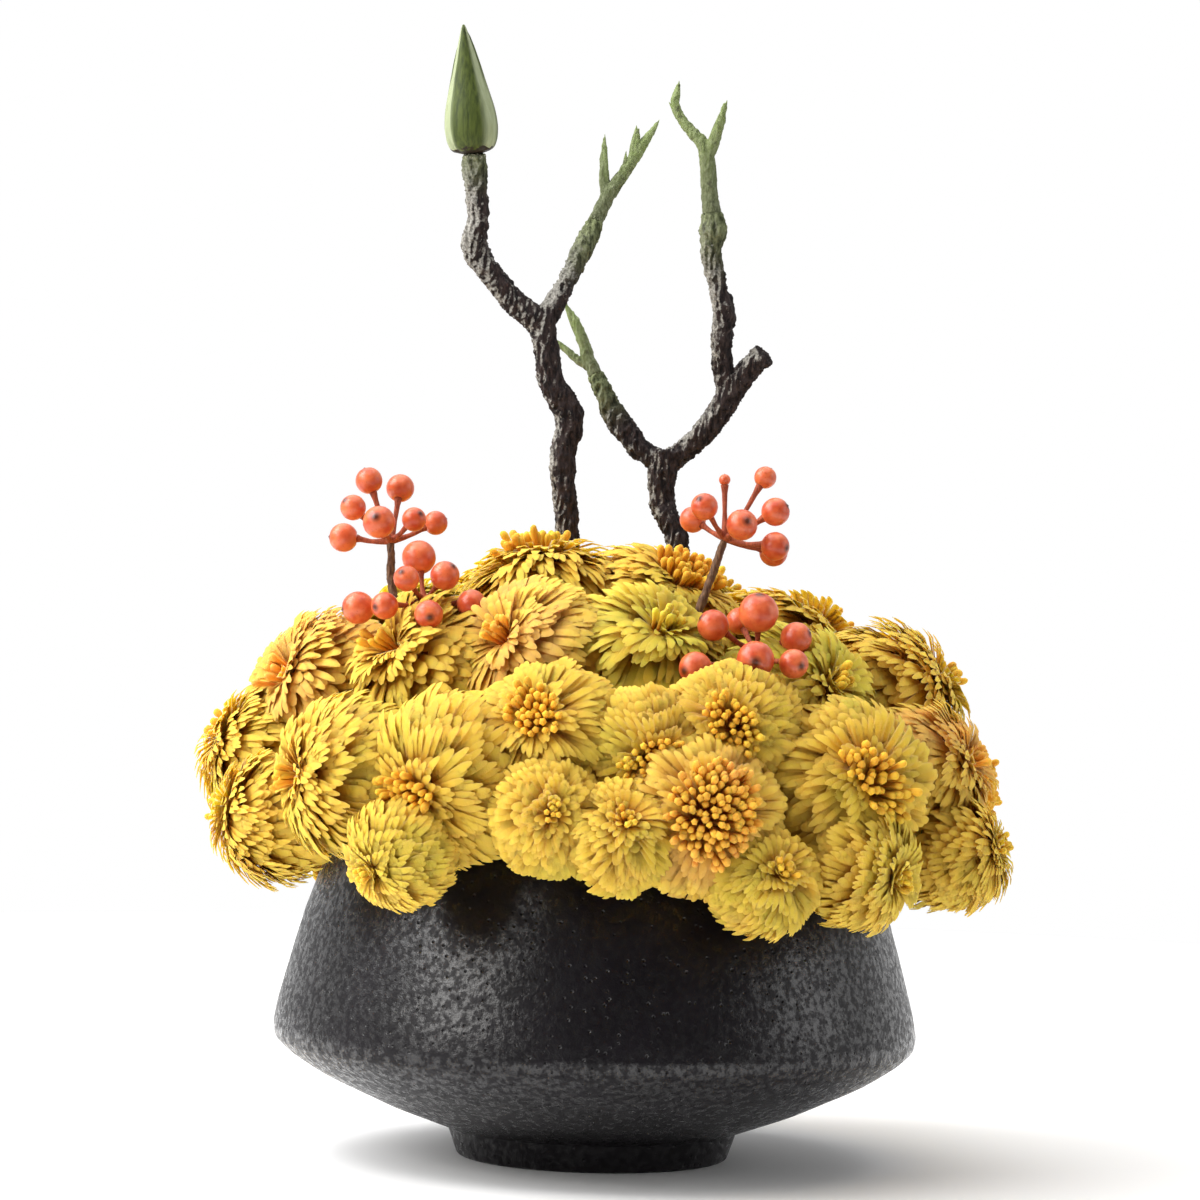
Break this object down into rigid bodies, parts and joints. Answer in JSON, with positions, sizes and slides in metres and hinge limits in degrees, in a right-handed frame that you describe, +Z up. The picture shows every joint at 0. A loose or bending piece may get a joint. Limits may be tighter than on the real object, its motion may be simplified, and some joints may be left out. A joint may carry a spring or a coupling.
{
  "type": "ikebana arrangement",
  "caption": "Low cushion of fringed yellow blooms with bare branches and berry sprays, set in foam in a wide dark shouldered bowl on a narrow foot.",
  "frame": {"origin": "on the table surface under the centre of the bowl's foot", "axes": "+Z up along the bowl's axis, +X to the viewer's right, the arrangement faces -Y"},
  "size_m": [0.2393, 0.2345, 0.3383],
  "materials": {
    "bowl_ceramic": "matt black stoneware, finely pitted",
    "foam": "matt open-pored floral foam",
    "bark": "rough dark bark",
    "shoot": "young green bark",
    "bud": "smooth waxy bud scales",
    "flower_stem": "green stems",
    "spray_stem": "thin brown twigs",
    "berry": "glossy orange-red skin",
    "petal_yellow": "soft yellow petals",
    "petal_orange": "soft yellow petals with orange shade",
    "petal_green": "soft yellow petals with green shade"
  },
  "bodies": {
    "root": {"bowl": "bowl_ceramic", "floral_foam": "foam", "branch_left": "bark", "branch_left_shoots": "shoot", "branch_left_bud": "bud", "branch_right": "bark", "branch_right_side_shoots": "shoot", "branch_right_top_shoots": "shoot", "left_spray_stem": "spray_stem", "left_spray_upper_berries": "berry", "left_spray_lower_berries": "berry", "right_spray_stem": "spray_stem", "right_spray_upper_berries": "berry", "low_spray_stem": "spray_stem", "low_spray_berries": "berry", "flower_stems_top": "flower_stem", "flower_stems_1": "flower_stem", "flower_stems_2": "flower_stem", "flower_stems_3": "flower_stem", "flower_stems_4": "flower_stem", "flower_stems_5": "flower_stem", "bloom_01": "petal_yellow", "bloom_02": "petal_yellow", "bloom_03": "petal_orange", "bloom_04": "petal_yellow", "bloom_05": "petal_yellow", "bloom_06": "petal_yellow", "bloom_07": "petal_yellow", "bloom_08": "petal_yellow", "bloom_09": "petal_yellow", "bloom_10": "petal_orange", "bloom_11": "petal_yellow", "bloom_12": "petal_yellow", "bloom_13": "petal_green", "bloom_14": "petal_yellow", "bloom_15": "petal_yellow", "bloom_16": "petal_orange", "bloom_17": "petal_yellow", "bloom_18": "petal_yellow", "bloom_19": "petal_green", "bloom_20": "petal_yellow", "bloom_21": "petal_yellow", "bloom_22": "petal_yellow", "bloom_23": "petal_orange", "bloom_24": "petal_yellow", "bloom_25": "petal_yellow", "bloom_26": "petal_yellow", "bloom_27": "petal_yellow", "bloom_28": "petal_green", "bloom_29": "petal_yellow", "bloom_30": "petal_yellow", "bloom_31": "petal_yellow", "bloom_32": "petal_yellow", "bloom_33": "petal_orange", "bloom_34": "petal_yellow", "bloom_35": "petal_yellow", "bloom_36": "petal_orange", "bloom_37": "petal_yellow", "bloom_38": "petal_green"}
  },
  "joints": []
}
